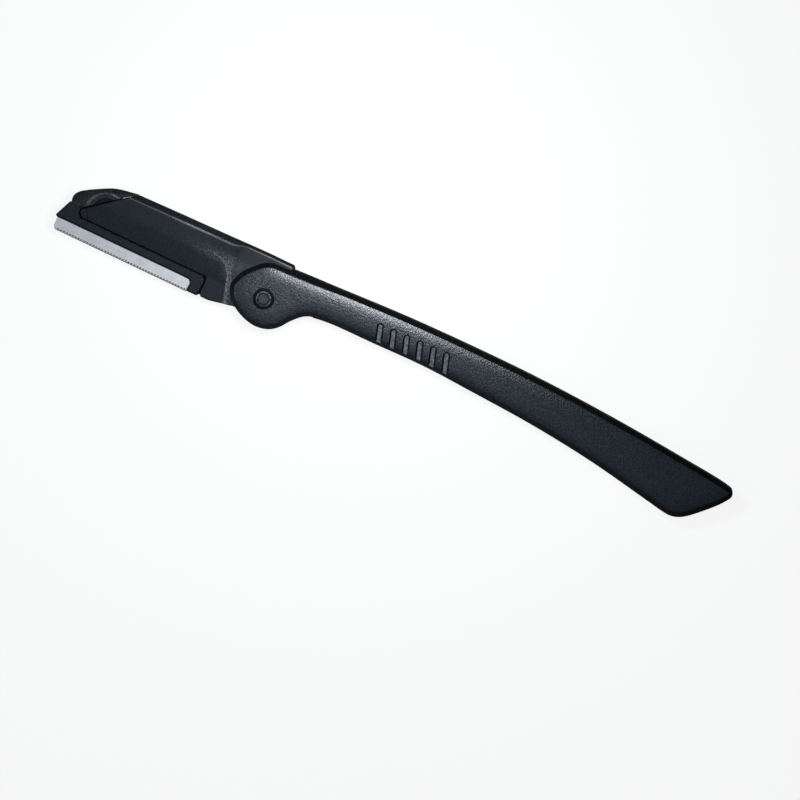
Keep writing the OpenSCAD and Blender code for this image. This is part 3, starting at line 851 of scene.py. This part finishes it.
def front_shell():
    piece = skin("front_shell_moulding", shell_rings(HANDLE_T, PARTING_Z))
    combine(piece, "DIFFERENCE", *inside_rings(PARTING_Z - OVERRUN, SLOT_Z1))
    room = skin("room", prism(circle((0, 0), HUB_ROOM), SLOT_Z1 - OVERRUN,
                              HANDLE_T - CHEEK_WALL))
    shape_room(room)
    settle(piece, "DIFFERENCE", room)
    combine(piece, "DIFFERENCE",
            prism(circle((0, 0), PIN_R + RING_GAP), SLOT_Z1 - OVERRUN, HANDLE_T + OVERRUN),
            *groove_rings(HANDLE_T, 1))
    for at in sized(PEG_SHARES, TAIL_LEN, GRIP_H):
        combine(piece, "UNION",
                prism(circle(at, PEG_R, SMALL_STEPS), (SLOT_Z0 + PARTING_Z) / 2, SLOT_Z1 + WELD))
    crown(piece)
    done(piece, "front_handle_shell", "handle",
         [handle_plastic, groove_plastic], crease=15)
    mark_grooves(piece, HANDLE_T)


def rear_shell():
    piece = skin("rear_shell_moulding", shell_rings(0, PARTING_Z))
    combine(piece, "DIFFERENCE", *inside_rings(SLOT_Z0, PARTING_Z + OVERRUN),
            *groove_rings(0, -1))
    for at in sized(PEG_SHARES, TAIL_LEN, GRIP_H):
        combine(piece, "UNION",
                prism(circle(at, PEG_R + BOSS_WALL, SMALL_STEPS), SLOT_Z0 - WELD, PARTING_Z))
        combine(piece, "DIFFERENCE",
                prism(circle(at, PEG_R + SEAT, SMALL_STEPS), SLOT_Z0, PARTING_Z + OVERRUN))
    combine(piece, "DIFFERENCE",
            prism(circle((0, 0), PIN_R + SEAT), SOCKET_FLOOR, SLOT_Z0 + OVERRUN))
    done(piece, "rear_handle_shell", "handle",
         [handle_plastic, groove_plastic], crease=15)
    mark_grooves(piece, 0)


def pin():
    """Pin with a steep chamfer, a sloping ring, a fine turned groove and a flat disc."""
    top = HANDLE_T - PIN_DROP
    rim, disc = PIN_RING + PIN_RING_W, PIN_RING - PIN_GROOVE_W
    section = [(PIN_R - 0.15, SOCKET_FLOOR), (PIN_R, SOCKET_FLOOR + 0.15),
               (PIN_R, top - 0.62), (PIN_R - 0.04, top - 0.5), (rim + 0.04, top - 0.24),
               (rim, top - 0.2), (PIN_RING + 0.04, top - 0.03), (PIN_RING, top - 0.05),
               (PIN_RING - 0.03, top - 0.16), (disc + 0.03, top - 0.16), (disc, top - 0.04),
               (disc - 0.06, top), (0.3, top)]
    piece = skin("pin_turned", [level(circle((0, 0), r), z) for r, z in section])
    done(piece, "pivot_pin", "handle", [pin_plastic], crease=22)


# Blade arm

# The angle at which the round eye meets the heel, in degrees
EYE_START = -125

# Where the slant up from the seam ends and how softly, the spine's slope beside the hub in
# shares of the full one, and where a slope starts and how fast, in shares of ARM_SPINE
FACET_TOP = 0.37 * ARM_SPINE
FACET_SOFT = 0.12
HUB_SLOPE = 0.38
SLOPE_START = 0.84
SLOPE_OVER = 0.08

# The fine bevel round the face, the x where it starts to widen towards the hub, over what
# length, by how much, and its share where the spine's slope starts
FACE_BEVEL = 0.18
BEVEL_X = -26
BEVEL_OVER = 5
BEVEL_GAIN = 0.7
BEVEL_AT_SLOPE = 1.05

# Distances between the lines that the face is split along, coarse, fine and across the spine
COARSE_STEP = 1.2
FINE_STEP = 0.25
SPINE_STEP = 0.6

# Shares of the arm's thickness where the walls start to follow the face, and over what share
FOLLOW_START = 0.3
FOLLOW_OVER = 0.55

# Drop of the recess near the tip, and the middle and radii of the hollow's small round dimple
LEDGE_DROP = 0.25
DIMPLE = (-20, 3.8)
DIMPLE_R = 0.3
DIMPLE_RIM_R = 0.42

# The tongue behind the slanted gap, along it in shares, across it and its thickness
TONGUE_SPAN = (0, 1.04)
TONGUE_REACH = 1.2
TONGUE_T = 0.7

# Section of the arm's edge and of the cap's: share of the thickness up, share of the spine's
# slope, and the inset of the fine bevel that runs all round
ARM_EDGE = [(0, 0.35, 0.1), (0.05, 0.2, 0), (0.22, 0, 0), (0.6, 0, 0), (0.7, 0.1, 0),
            (0.8, 0.36, 0), (0.88, 0.64, 0), (0.96, 0.9, 0), (1, 1, FACE_BEVEL)]
CAP_EDGE = [(0, 0.35, 0.1), (0.05, 0.2, 0), (0.22, 0, 0), (0.55, 0, 0), (0.66, 0.12, 0),
            (0.76, 0.38, 0), (0.86, 0.72, 0), (0.99, 1.3, 0.02), (1, 1.4, 0.06)]


def section_height(share, section, low, high):
    """Level at a share of the way along a section."""
    line = smooth_line(section)
    return np.minimum(high, blend(low, high, np.interp(share, line[:, 0], line[:, 1])))


def face_height(x, y):
    """Level of the arm's front face: the slant from the seam, the ramp, the rise to the hub."""
    start, end = (-CHEEK_LEN * r for r in RISE)
    upper = section_height((x - start) / (end - start), RISE_SECTION, ARM_Z1, HUB_Z)
    foot = np.array([(-CHEEK_LEN * a, ARM_SPINE * b) for a, b in RAMP_FOOT])
    low = smooth_line(foot, 24)
    reach = smooth_line(foot + RAMP_W * np.array(RAMP_REACH), 24) - low
    share = np.zeros(len(x))
    nearest = np.full(len(x), np.inf)
    for (foot_x, foot_y), (run_x, run_y) in zip(low, reach):
        u = ((x - foot_x) * run_x + (y - foot_y) * run_y) / (run_x ** 2 + run_y ** 2)
        u = np.clip(u, 0, RAMP_SECTION[-1][0])
        off = np.hypot(x - foot_x - u * run_x, y - foot_y - u * run_y)
        share = np.where(off < nearest, u, share)
        nearest = np.minimum(off, nearest)
    up = np.maximum(0, (y - PLATE_LOW) / (FACET_TOP - PLATE_LOW))
    over = unit((up - 1 + FACET_SOFT) / (2 * FACET_SOFT))
    facet = HOLLOW_Z + HOLLOW_DEPTH * np.where(over < 1, up - FACET_SOFT * over ** 2, 1)
    return np.minimum(upper, np.maximum(
        facet, section_height(share, RAMP_SECTION, HOLLOW_Z, HUB_Z)))


def arm_plan():
    start = math.degrees(math.acos(STOP_X / EYE_R))
    eye = arc((0, 0), EYE_R, EYE_START, start, 58)
    stop = arc((STOP_X - STOP_ROUND, ARM_SPINE - STOP_ROUND), STOP_ROUND, 0, 90, 10)
    top = smooth_line([stop[-1]] + arm_top, 8)
    block = arc((NOTCH_X - BLOCK_ROUND, PLATE_LOW - BLOCK_ROUND), BLOCK_ROUND, 90, 0)
    heel = smooth_line([(-CHEEK_LEN * a, ARM_SPINE * b - HEEL_Y) for a, b in HEEL], 6)
    return np.array([*eye, *stop, *top[1:], *slant, nose[0], nose[1], (nose[2][0], PLATE_LOW),
                     *block, (NOTCH_X, HEEL_BEVEL - HEEL_Y), (NOTCH_X + HEEL_BEVEL, -HEEL_Y),
                     *heel])


def arm_shift(plan):
    """Shift of each point of the plan under the spine's full slope."""
    shifts = np.zeros_like(plan)
    run = slant[1] - slant[0]
    lean = run[0] / run[1]
    ways_out = outward(plan)
    for i, q in enumerate(plan):
        amount = (unit((q[1] / ARM_SPINE - SLOPE_START) / SLOPE_OVER)
                  * blend(HUB_SLOPE, 1, eased((-q[0] - CHEEK_LEN) / (2 * RAMP_W))) * SPINE_SLOPE)
        on_stop = q[0] > STOP_X - STOP_ROUND - 1e-6
        way = ways_out[i] if on_stop else (lean if np.allclose(q, slant[0]) else 0, 1)
        shifts[i] = amount * np.array(way)
    return shifts


def tongue(z, grow):
    """Tongue of the tip cap behind the slanted gap, grown all round by the clearance."""
    along = -slant_run / np.linalg.norm(slant_run)
    foot = blend(slant[2], slant[1], TONGUE_SPAN[0]) - grow * along
    head = blend(slant[2], slant[1], TONGUE_SPAN[1]) + grow * along
    out, back = (TIP_GAP + WELD) * slant_out, (TONGUE_REACH + grow) * slant_out
    return prism([foot + out, foot - back, head - back, head + out], z,
                 ARM_Z0 + TONGUE_T + grow)


def rail(grow):
    """Rail that laps behind the seam, grown all round by the clearance."""
    x0, x1 = -ARM_LEN * TIP_BLOCK[0][0] - WELD, NOTCH_X + RAIL_LAP + grow
    foot, top = CARRIER_TOP - WELD, PLATE_LOW + RAIL_H + grow
    head, bottom = nose[0][1] + RAIL_RISE + grow, BLOCK_LOW + RAIL_LAP - grow
    brow = ARM_SPINE * CAP[-1][1] - SEAT + grow
    plan = [(x0, foot), (BLOCK_X1 - WELD, foot), (BLOCK_X1 - WELD, bottom), (x1, bottom),
            (x1, top), (nose[2][0] + RAIL_NOSE + grow, top),
            (nose[0][0] + RAIL_NOSE + grow, head), (slant[2][0] + SEAM / 2 + grow, brow),
            slant[2] + TIP_GAP * np.array([-0.6, 0.6]) + grow, (slant[2][0] - RAIL_LAP, brow),
            (x0, brow)]
    return prism(plan, STEEL_Z - RAIL_T / 2 - grow, STEEL_Z + RAIL_T / 2 + grow)


def blade_arm():
    plan = arm_plan()
    shifts = arm_shift(plan)
    reach = np.linalg.norm(shifts, axis=1) / SPINE_SLOPE
    widening = np.where((reach > 0.1) & (reach < 0.9), BEVEL_AT_SLOPE,
                        1 + BEVEL_GAIN * unit((plan[:, 0] - BEVEL_X) / BEVEL_OVER))
    rings = [level(inset(plan - s * shifts, b * widening), ARM_Z0 + ARM_T * up)
             for up, s, b in ARM_EDGE]
    piece = skin("arm_moulding", rings)
    grid_x = np.concatenate([np.arange(-ARM_LEN, -20, COARSE_STEP),
                             np.arange(-20, -6.4, FINE_STEP), np.arange(-6, EYE_R, COARSE_STEP)])
    grid_y = np.concatenate([np.arange(-HEEL_Y, 5.4, FINE_STEP),
                             np.arange(5.6, ARM_SPINE, SPINE_STEP)])
    score(piece, ARM_Z1 - 1e-3, grid_x, grid_y)
    p = points_of(piece)
    lift = face_height(p[:, 0], p[:, 1]) - ARM_Z1
    p[:, 2] += lift * unit(((p[:, 2] - ARM_Z0) / ARM_T - FOLLOW_START) / FOLLOW_OVER)
    move_points(piece, p)
    dimple_z = face_height(np.array([DIMPLE[0]]), np.array([DIMPLE[1]]))[0]
    low, high = sized(LEDGE, -ARM_LEN, ARM_SPINE)
    ledge = [high, (-ARM_LEN, high[1]), (-ARM_LEN, low[1]), low]
    combine(piece, "DIFFERENCE",
            prism(circle((0, 0), PIN_R + EYE_FIT), ARM_Z0 - OVERRUN, HANDLE_T),
            tongue(ARM_Z0 - OVERRUN, SEAT), rail(SEAT),
            prism(ledge, HOLLOW_Z - LEDGE_DROP, HANDLE_T),
            [level(circle(DIMPLE, DIMPLE_R, SMALL_STEPS), dimple_z - 0.08),
             level(circle(DIMPLE, DIMPLE_RIM_R, SMALL_STEPS), dimple_z + 0.3)])
    done(piece, "blade_arm", "arm", [arm_plastic, ledge_shade_plastic, edge_plastic],
         crease=14)
    # Painted shade: the recessed ledge's floor takes the darker ledge plastic
    mark(piece, 1, lambda at, way: (at.x < -0.8 * ARM_LEN and way.z > 0.9
                                    and at.z < HOLLOW_Z - LEDGE_DROP / 2))
    # Painted highlight: the bevel faces along the spine take the paler, glossier edge plastic
    mark(piece, 2, lambda at, way: (0.12 < way.y < 0.34 and way.z > 0.9
                                    and at.y > 0.76 * ARM_SPINE))


# Tip cap

# Gap between cap and arm at the points of the slant, tip first
CAP_GAPS = (TIP_GAP, 0.16, 0.08)

# Section of the finger-nail nick, in steps: what its radius gains, and the depth
NICK_SECTION = [(-0.95, NICK_DEPTH), (-0.9, 0.48), (-0.62, 0.44), (-0.57, 0.34), (-0.3, 0.3),
                (-0.22, 0.16), (0, 0.1), (0.12, 0), (0.6, -OVERRUN)]


def tip_cap():
    outer = list(smooth_line(sized(CAP, -ARM_LEN, ARM_SPINE), 6))
    side = [q + gap * slant_out for q, gap in zip(slant[::-1], CAP_GAPS)]
    corner = np.array([-CAP_CORNER * ARM_LEN, outer[-1][1]])
    plan = np.array([corner] + side + outer)
    shifts = np.zeros_like(plan)
    for i in range(len(side) + 1, len(plan) - 1):
        reach = (plan[i] - side[0]) @ slant_out
        rise = (plan[i][1] - corner[1]) / slant_out[1]
        shifts[i] = max(0, min(SPINE_SLOPE, 0.4 * reach, 0.6 * rise)) * slant_out
    rings = [level(inset(plan - s * shifts, b), ARM_Z0 + ARM_T * up) for up, s, b in CAP_EDGE]
    piece = skin("cap_moulding", rings)
    combine(piece, "UNION", tongue(ARM_Z0 + SEAT, 0))
    combine(piece, "DIFFERENCE",
            [level(circle(NICK_AT, NICK_R + r), ARM_Z1 - depth) for r, depth in NICK_SECTION])
    done(piece, "tip_cap", "arm", [cap_plastic, nick_shade_plastic, seam_shade_plastic],
         crease=14)
    # Painted shade: the nick's faces take the darker nick plastic
    mark(piece, 1, lambda at, way: nick_distance(at.x, at.y) < NICK_R - 0.1)
    # Painted shade: the deep faces behind the slanted gap take the near-black seam plastic
    mark_deep(piece, 2, ARM_Z0 + TONGUE_T + SEAT)


# Carrier and steel

# Section of the carrier: level and inset. The inset is larger along the steel
CARRIER_SECTION = [(ARM_Z0, 0.08), (ARM_Z0 + 0.08, 0), (HOLLOW_Z - 0.2, 0),
                   (HOLLOW_Z - 0.12, 0.04), (HOLLOW_Z, 0.18)]
STEEL_SIDE_GAIN = 2.2

# Steps round the steel's fold, how strongly the outline draws in there in shares of half its
# thickness, and the rounded lip of the outline elsewhere
FOLD_STEPS = 12
FOLD_PULL = 0.8
STEEL_LIP = 0.05


def carrier():
    tip = sized(TIP_BLOCK, -ARM_LEN, ARM_SPINE)
    plan = [*arc((BLOCK_X0 - STEEL_ROUND, CARRIER_LOW - STEEL_ROUND), STEEL_ROUND, 90, 0),
            (BLOCK_X0, BLOCK_LOW), (BLOCK_X1 - HEEL_BEVEL, BLOCK_LOW),
            (BLOCK_X1, BLOCK_LOW + HEEL_BEVEL),
            *arc((BLOCK_X1 - BLOCK_ROUND, CARRIER_TOP - BLOCK_ROUND), BLOCK_ROUND, 0, 90),
            (nose[2][0] - SEAM, CARRIER_TOP), *tip, (STEEL_X0, CARRIER_LOW)]
    gain = np.array([STEEL_SIDE_GAIN if q[1] < CARRIER_LOW + 0.1 else 1 for q in plan])
    piece = skin("carrier_moulding",
                 [level(inset(plan, b * gain), z) for z, b in CARRIER_SECTION])
    half = GUARD_T / 2 + SEAT
    combine(piece, "DIFFERENCE",
            box(STEEL_X0 + TAB_INSET - SEAT, STEEL_X1 - TAB_INSET + SEAT,
                CARRIER_LOW - OVERRUN, CARRIER_LOW + SLOT_DEPTH, STEEL_Z - half, STEEL_Z + half))
    combine(piece, "UNION", rail(0))
    done(piece, "blade_carrier", "arm", [carrier_plastic, seam_shade_plastic],
         crease=14)
    # Painted shade: the deep faces of the seam and the bevel along the steel take the near-black
    # seam plastic
    mark_deep(piece, 1, HOLLOW_Z - 0.2)
    mark(piece, 1, lambda at, way: (abs(at.y - CARRIER_LOW) < 0.5 and at.z > HOLLOW_Z - 0.15
                                    and way.y < -0.2))


def guard():
    """Thin steel folded over the blade's edge, with the comb's gaps cut across the fold."""
    tab_x0, tab_x1 = STEEL_X0 + TAB_INSET, STEEL_X1 - TAB_INSET
    step_y = CARRIER_LOW - SEAT
    low = -BLADE_LINE - FOLD_DROP
    plan = np.array([
        (STEEL_X1, low),
        *arc((BLOCK_X0 - STEEL_ROUND, CARRIER_LOW - STEEL_ROUND), STEEL_ROUND - SEAT, 0, 90),
        (tab_x1, step_y), (tab_x1, step_y + SLOT_DEPTH), (tab_x0, step_y + SLOT_DEPTH),
        (tab_x0, step_y), (STEEL_X0, step_y),
        *arc((STEEL_X0 + STEEL_ROUND, low + STEEL_ROUND), STEEL_ROUND, 180, 270)])
    fold = GUARD_T / 2
    at_fold = unit((low + STEEL_ROUND - plan[:, 1]) / STEEL_ROUND)
    rings = []
    for s in range(FOLD_STEPS + 1):
        a = math.pi * s / FOLD_STEPS - math.pi / 2
        z = fold * math.sin(a)
        pull = fold * FOLD_PULL * (1 - math.cos(a))
        lip = max(0, STEEL_LIP - 2 * (fold - abs(z)))
        rings.append(level(inset(plan, at_fold * pull + (1 - at_fold) * lip), STEEL_Z + z))
    piece = skin("guard_folded", rings)
    combine(piece, "DIFFERENCE",
            box(STEEL_X0 - OVERRUN, STEEL_X1 + OVERRUN, GUARD_WALL - BLADE_LINE, 0,
                STEEL_Z - fold + GUARD_WALL, STEEL_Z + fold - GUARD_WALL))
    gap_w = TOOTH_PITCH - TOOTH_W
    count = int((STEEL_LEN - STEEL_ROUND) / TOOTH_PITCH)
    gaps = []
    for k in range(count):
        x = STEEL_X1 - (k + 1) * TOOTH_PITCH
        for z0, z1 in ((STEEL_Z - 1, STEEL_Z - FOLD_WEB), (STEEL_Z + FOLD_WEB, STEEL_Z + 1)):
            gaps.append(box(x, x + gap_w, low - OVERRUN, low + TOOTH_LEN, z0, z1))
    settle(piece, "DIFFERENCE", skin("gaps", *gaps))
    done(piece, "comb_guard", "arm", [guard_steel, comb_shade_steel], crease=20)

    def in_comb(at, way):
        on_web = abs(at.z - STEEL_Z) < FOLD_WEB + 0.01 and abs(way.z) > 0.5
        return at.y < low + TOOTH_LEN + 0.1 and (abs(way.x) > 0.9 or on_web)

    # Painted shade: the walls of the comb's gaps and the web between them take the near-black
    # comb steel
    mark(piece, 1, in_comb)


def blade():
    """The blade's own solid is right, and only takes its ground steel finish, darkened near its
    edge as painted shade.
    """
    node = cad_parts["razor_blade"]
    for slot in node.material_slots:
        slot.material = blade_steel


# Stage, light and camera

# Half the floor's width and its level just below the part, both in metres, and the share of
# plain white that it shows the camera, beside its own shaded paint
FLOOR_HALF = 12
FLOOR_Z = -5e-5
FLOOR_GLOW = 0.88

# The photograph's view: tilt from straight above, turn, one pixel at the part in mm, and how
# far left of and above the picture's middle the pivot lies, in pixels. The camera's distance
# and its sensor's width are in mm
VIEW_TILT = math.radians(8)
VIEW_TURN = math.radians(25.4)
PICTURE = 800
PIXEL = 0.218
PIVOT_LEFT = 136.6
PIVOT_ABOVE = 100.9
VIEW_DISTANCE = 1000
SENSOR = 36


def floor():
    corners = [(-1, -1), (1, -1), (1, 1), (-1, 1)]
    piece = solid("floor", [(FLOOR_HALF * x, FLOOR_HALF * y, FLOOR_Z) for x, y in corners],
                  [[0, 1, 2, 3]])
    f = Finish("floor_white")
    path = f.node("ShaderNodeLightPath")
    seen = path["Is Camera Ray"] + path["Is Glossy Ray"] + path["Is Transmission Ray"]
    paint = f.node("ShaderNodeBsdfDiffuse", None, {"Color": (0.95, 0.95, 0.95, 1)})["BSDF"]
    glow = f.node("ShaderNodeEmission", None, {"Color": (1, 1, 1, 1), "Strength": 1.0})
    f.shows(f.mixed(seen.math("MINIMUM", seen, 1) * FLOOR_GLOW, paint, glow["Emission"]))
    piece.data.materials.append(f.material)


def softbox(name, centre, tilt, bearing, distance, width, height, radiance):
    """Rectangular lamp that faces a point in mm from a distance, tilted from straight above
    and turned from +X in degrees."""
    lamp = bpy.data.lights.new(name, "AREA")
    lamp.shape = "RECTANGLE"
    lamp.size, lamp.size_y = width * MM, height * MM
    lamp.energy = radiance * math.pi * width * height * MM * MM
    lamp.color = (0.9, 0.96, 1)
    holder = bpy.data.objects.new(name, lamp)
    bpy.context.scene.collection.objects.link(holder)
    tilt, bearing = math.radians(tilt), math.radians(bearing)
    way = Vector((math.sin(tilt) * math.cos(bearing), math.sin(tilt) * math.sin(bearing),
                  math.cos(tilt)))
    holder.location = (Vector(centre) + way * distance) * MM
    holder.rotation_euler = way.to_track_quat("Z", "Y").to_euler()
    holder.visible_camera = False


def light():
    f = Finish("studio_sky", bpy.data.worlds)
    ray = f.node("ShaderNodeTexCoord")["Generated"]
    up = f.node("ShaderNodeSeparateXYZ", None, {0: ray})[2]
    horizon, zenith = (f.node("ShaderNodeBackground", None,
                              {"Color": (0.8, 0.9, 1, 1), "Strength": strength})["Background"]
                       for strength in (0.03, 0.2))
    f.shows(f.mixed(f.ramp(up, 0.3, 1.0), horizon, zenith), "ShaderNodeOutputWorld")
    bpy.context.scene.world = f.material
    softbox("key", (13, 7, 5), tilt=17, bearing=90, distance=100, width=36, height=24,
            radiance=45)
    softbox("overhead", (-25, -3, 4), tilt=8, bearing=270, distance=300, width=200, height=110,
            radiance=0.6)
    softbox("strip", (-40, 6, 4), tilt=33, bearing=128, distance=300, width=60, height=60,
            radiance=3)
    softbox("side", (-10, 0, 4), tilt=50, bearing=205, distance=500, width=250, height=250,
            radiance=3)


def camera():
    across = Vector((1, 0, 0))
    ahead = Vector((0, math.cos(VIEW_TILT), -math.sin(VIEW_TILT)))
    right = across * math.cos(VIEW_TURN) + ahead * math.sin(VIEW_TURN)
    up = ahead * math.cos(VIEW_TURN) - across * math.sin(VIEW_TURN)
    back = right.cross(up)
    pivot = Vector((0, 0, HANDLE_T))
    middle = pivot + right * (PIVOT_LEFT * PIXEL) - up * (PIVOT_ABOVE * PIXEL)
    lens = bpy.data.cameras.new("camera")
    lens.sensor_width = SENSOR
    lens.lens = SENSOR * VIEW_DISTANCE / (PICTURE * PIXEL)
    lens.clip_start, lens.clip_end = 0.05, 60
    holder = bpy.data.objects.new("camera", lens)
    bpy.context.scene.collection.objects.link(holder)
    turned = Matrix((right, up, back)).transposed().to_4x4()
    turned.translation = (middle + back * VIEW_DISTANCE) * MM
    holder.matrix_world = turned
    bpy.context.scene.camera = holder


camera()
floor()
light()
front_shell()
rear_shell()
pin()
blade_arm()
tip_cap()
carrier()
guard()
blade()

bpy.context.scene.view_settings.view_transform = "Standard"
